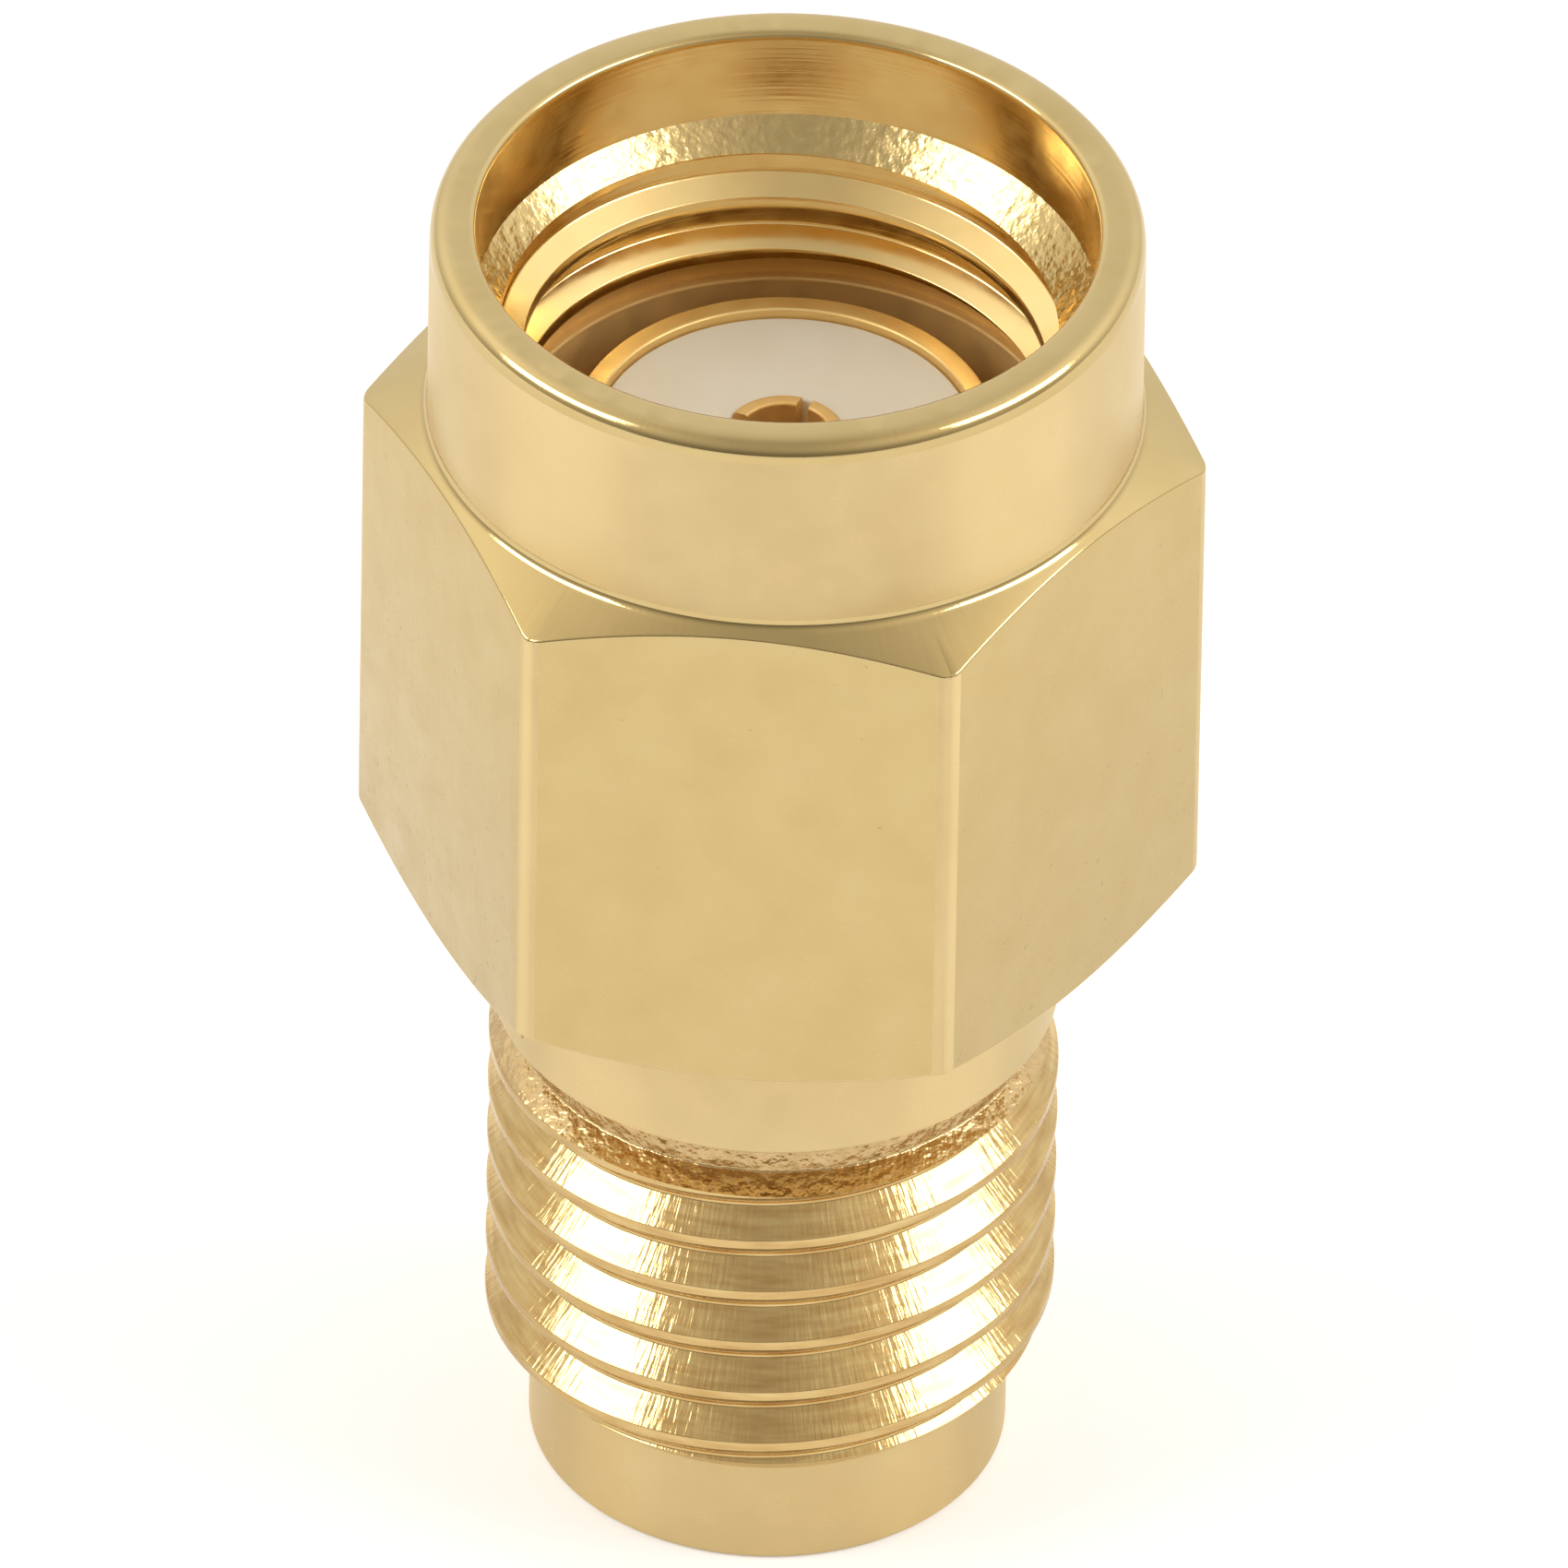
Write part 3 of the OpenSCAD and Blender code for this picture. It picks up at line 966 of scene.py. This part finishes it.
class ADAPTER_OT_insulator(bpy.types.Operator):
    """Turn the white insulator"""

    bl_idname = "adapter.insulator"
    bl_label = "Insulator"

    def execute(self, context):
        settings = context.scene.adapter
        sizes = settings.body
        low, high = BOX["insulator"]
        hole = BOX["centre_contact"][1].x + sizes.bush_gap
        insulator = turned("white_insulator", [
            (hole, low.z, sizes.fine_edge),
            (high.x, low.z, sizes.fine_edge),
            (high.x, high.z, sizes.fine_edge),
            (hole, high.z, sizes.fine_edge),
        ])
        dress(insulator, "adapter_body", "insulator", "white_insulator", insulator_white(settings.finish))
        return {"FINISHED"}


class ADAPTER_OT_contact(bpy.types.Operator):
    """Turn the centre contact, drill both ends and slot them"""

    bl_idname = "adapter.contact"
    bl_label = "Centre contact"

    def execute(self, context):
        settings = context.scene.adapter
        sizes = settings.contact
        edge = settings.body.fine_edge
        low, high = BOX["centre_contact"]
        hole = mount_radius("plug_contact")
        point = hole / math.tan(sizes.drill_angle)
        contact = turned("centre_contact_gold", [
            (0, low.z + sizes.hole_depth + point, 0),
            (hole, low.z + sizes.hole_depth, 0),
            (hole, low.z, edge),
            (high.x, low.z, edge),
            (high.x, high.z, edge),
            (hole, high.z, edge),
            (hole, high.z - sizes.hole_depth, 0),
            (0, high.z - sizes.hole_depth - point, 0),
        ], closed=False)
        # each slot runs right through the rod and out past both sides
        reach = 4 * high.x
        for end in (low.z, high.z):
            for across in ((reach, sizes.slot_width), (sizes.slot_width, reach)):
                bpy.ops.object.select_all(action="DESELECT")
                bpy.ops.mesh.primitive_cube_add(
                    size=1,
                    location=(0, 0, end),
                    rotation=(0, 0, sizes.slot_turn),
                    scale=(*across, 2 * sizes.slot_length),
                )
                bpy.ops.object.transform_apply(location=True, rotation=True, scale=True)
                combine(contact, context.object, "DIFFERENCE")
        dress(contact, "adapter_body", "centre_contact", "gold_contact", contact_gold(settings.finish))
        return {"FINISHED"}


class ADAPTER_OT_ring(bpy.types.Operator):
    """Give the retaining ring its bronze"""

    bl_idname = "adapter.ring"
    bl_label = "Retaining ring"

    def execute(self, context):
        ring = frame["nodes"]["retaining_ring"]
        bronze = spring_bronze(context.scene.adapter.finish)
        for slot in ring.material_slots:
            slot.material = bronze
        return {"FINISHED"}


class ADAPTER_OT_stage(bpy.types.Operator):
    """Set the floor, the lamps, the surroundings and the camera"""

    bl_idname = "adapter.stage"
    bl_label = "Stage"

    def execute(self, context):
        settings = context.scene.adapter
        sizes = settings.stage
        context.scene.view_settings.view_transform = "Standard"
        self.lay_floor(context, sizes, settings.finish)
        self.hang_lamp(context, sizes, "left_lamp", sizes.left_lamp, sizes.lamp_lean)
        self.hang_lamp(context, sizes, "right_lamp", sizes.right_lamp, -sizes.lamp_lean)
        self.set_surroundings(context.scene, sizes)
        self.set_camera(context, sizes)
        return {"FINISHED"}

    def lay_floor(self, context, sizes, finish):
        """A plain sheet of white paper, lifted to white where it is seen directly or in metal."""
        bpy.ops.object.select_all(action="DESELECT")
        bpy.ops.mesh.primitive_plane_add(size=sizes.floor_width, location=(0, 0, -FLOOR_DROP))
        floor = context.object
        floor.name = "floor"
        material = bpy.data.materials.new("white_paper")
        material.use_nodes = True
        tree = material.node_tree
        tree.nodes.clear()
        paper = add_node(tree, "ShaderNodeBsdfDiffuse", {"Color": (*finish.floor, 1)})
        ray = add_node(tree, "ShaderNodeLightPath")
        mirrored = add_node(
            tree,
            "ShaderNodeMath",
            {0: ray.outputs["Is Glossy Ray"], 1: ray.outputs["Is Transmission Ray"]},
            operation="MAXIMUM",
        )
        gleam = add_node(
            tree, "ShaderNodeMath", {0: mirrored.outputs[0], 1: sizes.floor_gleam}, operation="MULTIPLY"
        )
        lift = add_node(
            tree,
            "ShaderNodeMath",
            {0: ray.outputs["Is Camera Ray"], 1: sizes.floor_lift, 2: gleam.outputs[0]},
            operation="MULTIPLY_ADD",
        )
        glow = add_node(tree, "ShaderNodeEmission", {"Strength": lift.outputs[0]})
        both = add_node(tree, "ShaderNodeAddShader", {0: paper.outputs[0], 1: glow.outputs[0]})
        add_node(tree, "ShaderNodeOutputMaterial", {"Surface": both.outputs[0]})
        floor.data.materials.append(material)

    def hang_lamp(self, context, sizes, name, bearing, lean):
        """A soft lamp facing the adapter, which sees it in a direction given in the view's own axes."""
        turn = Matrix.Rotation(sizes.camera_side, 3, "Z")
        outward = (turn @ Vector(bearing)).normalized()
        middle = Vector((0, 0, sizes.aim_height))
        bpy.ops.object.light_add(type="AREA", location=middle + outward * sizes.lamp_distance)
        lamp = context.object
        lamp.name = name
        facing = outward.to_track_quat("Z", "Y") @ Quaternion((0, 0, 1), lean)
        lamp.rotation_euler = facing.to_euler()
        lamp.data.shape = "RECTANGLE"
        lamp.data.size = sizes.lamp_width
        lamp.data.size_y = sizes.lamp_height
        lamp.data.energy = sizes.lamp_white * math.pi * sizes.lamp_width * sizes.lamp_height

    def set_surroundings(self, scene, sizes):
        """A pale room, dim and warm towards the camera, that is plain white where the camera sees it."""
        world = bpy.data.worlds.new("pale_room")
        scene.world = world
        world.use_nodes = True
        tree = world.node_tree
        tree.nodes.clear()
        outlook = add_node(tree, "ShaderNodeTexCoord")
        axes = add_node(tree, "ShaderNodeSeparateXYZ", {0: outlook.outputs["Generated"]})
        # the tone goes over from the front one to the back one between straight aside and nearly behind
        away = add_node(
            tree,
            "ShaderNodeMapRange",
            {"Value": axes.outputs["Y"], "From Min": 0.0, "From Max": 0.85, "To Min": 0.0, "To Max": 1.0},
        )
        tint = add_node(
            tree,
            "ShaderNodeMix",
            {"Factor": away.outputs["Result"], MIX_A: (*sizes.room_front, 1), MIX_B: (*sizes.room_back, 1)},
            data_type="RGBA",
        )
        # low down in front the room is darker still, which draws the dark line along front edges
        low = add_node(
            tree,
            "ShaderNodeMapRange",
            {
                "Value": axes.outputs["Z"],
                "From Min": 0.0,
                "From Max": 0.7,
                "To Min": sizes.room_dim,
                "To Max": 0.0,
            },
        )
        front = add_node(
            tree,
            "ShaderNodeMapRange",
            {"Value": axes.outputs["Y"], "From Min": -1.0, "From Max": -0.4, "To Min": 1.0, "To Max": 0.0},
        )
        dark = add_node(
            tree,
            "ShaderNodeMath",
            {0: low.outputs["Result"], 1: front.outputs["Result"]},
            operation="MULTIPLY",
        )
        level = add_node(tree, "ShaderNodeMath", {0: 1.0, 1: dark.outputs[0]}, operation="SUBTRACT")
        # high up on both sides the pale walls are brighter than the ceiling
        aside = add_node(
            tree, "ShaderNodeMath", {0: axes.outputs["X"], 1: axes.outputs["Z"]}, operation="MULTIPLY"
        )
        walls = add_node(
            tree, "ShaderNodeMath", {0: aside.outputs[0], 1: aside.outputs[0]}, operation="MULTIPLY"
        )
        light = add_node(
            tree,
            "ShaderNodeMath",
            {0: walls.outputs[0], 1: sizes.wall_glow, 2: level.outputs[0]},
            operation="MULTIPLY_ADD",
        )
        room = add_node(
            tree, "ShaderNodeBackground", {"Color": tint.outputs[MIX_RESULT], "Strength": light.outputs[0]}
        )
        white = add_node(tree, "ShaderNodeBackground", {"Color": (1, 1, 1, 1)})
        ray = add_node(tree, "ShaderNodeLightPath")
        both = add_node(
            tree,
            "ShaderNodeMixShader",
            {0: ray.outputs["Is Camera Ray"], 1: room.outputs[0], 2: white.outputs[0]},
        )
        add_node(tree, "ShaderNodeOutputWorld", {"Surface": both.outputs[0]})

    def set_camera(self, context, sizes):
        """A long lens, looking down on the nut's mouth."""
        side = sizes.camera_side
        height = sizes.camera_height
        back = Vector((
            math.sin(side) * math.cos(height),
            -math.cos(side) * math.cos(height),
            math.sin(height),
        ))
        level = Vector((math.cos(side), math.sin(side), 0))
        upright = back.cross(level)
        right = level * math.cos(sizes.camera_roll) + upright * math.sin(sizes.camera_roll)
        up = back.cross(right)
        aim = Vector((0, 0, sizes.aim_height)) + right * sizes.aim_right + up * sizes.aim_up
        bpy.ops.object.camera_add()
        camera = context.object
        camera.name = "photo_camera"
        turn = Matrix((right, up, back)).transposed().to_4x4()
        camera.matrix_world = Matrix.Translation(aim + back * sizes.camera_distance) @ turn
        camera.data.lens = camera.data.sensor_width * sizes.camera_distance / sizes.frame_width
        camera.data.clip_start = sizes.camera_distance / 100
        camera.data.clip_end = sizes.camera_distance * 10
        context.scene.camera = camera


class ADAPTER_PT_panel(bpy.types.Panel):
    """The adapter's sizes, finishes and steps"""

    bl_idname = "ADAPTER_PT_panel"
    bl_label = "Coax adapter"
    bl_space_type = "VIEW_3D"
    bl_region_type = "UI"
    bl_category = "Adapter"

    def draw(self, context):
        settings = context.scene.adapter
        for step in STEPS:
            self.layout.operator(step.bl_idname)
        for name in AdapterSettings.__annotations__:
            group = getattr(settings, name)
            box = self.layout.box()
            for key in type(group).__annotations__:
                box.prop(group, key)


STEPS = (
    ADAPTER_OT_body,
    ADAPTER_OT_insulator,
    ADAPTER_OT_contact,
    ADAPTER_OT_ring,
    ADAPTER_OT_nut,
    ADAPTER_OT_stage,
)
CLASSES = (
    ThreadSizes,
    BodySizes,
    NutSizes,
    ContactSizes,
    Finishes,
    StageSizes,
    AdapterSettings,
    *STEPS,
    ADAPTER_PT_panel,
)


def register():
    """Make the settings, the steps and the panel known to Blender."""
    for item in CLASSES:
        bpy.utils.register_class(item)
    bpy.types.Scene.adapter = PointerProperty(type=AdapterSettings)


def unregister():
    """Take them out again."""
    del bpy.types.Scene.adapter
    for item in reversed(CLASSES):
        bpy.utils.unregister_class(item)


def main():
    """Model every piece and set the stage."""
    register()
    bpy.ops.adapter.body()
    bpy.ops.adapter.insulator()
    bpy.ops.adapter.contact()
    bpy.ops.adapter.ring()
    bpy.ops.adapter.nut()
    bpy.ops.adapter.stage()


if __name__ == "__main__":
    main()
